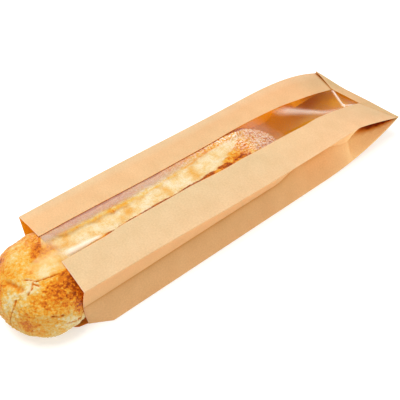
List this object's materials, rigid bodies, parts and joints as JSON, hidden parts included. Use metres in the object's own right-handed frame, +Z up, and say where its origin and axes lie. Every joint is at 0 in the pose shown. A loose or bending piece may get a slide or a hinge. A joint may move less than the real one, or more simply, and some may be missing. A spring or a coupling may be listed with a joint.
{
  "type": "paper bread bag with a film window, holding a loaf",
  "caption": "Kraft paper side-gusset bread bag lying flat, with a clear film window along its front and a crusty long loaf sticking out of its open mouth.",
  "frame": {"origin": "on the ground, under the middle of the box round the bag and its loaf", "axes": "+X along the bag from its open mouth to its glued end, +Y towards its far side, +Z up out of its front panel and window"},
  "size_m": [0.4703, 0.1208, 0.0588],
  "materials": {
    "kraft_paper": "matte",
    "clear_film": "gloss",
    "bread_crust": "matte"
  },
  "bodies": {
    "root": {"paper_bag": "kraft_paper", "window_film": "clear_film", "loaf": "bread_crust"}
  },
  "joints": []
}
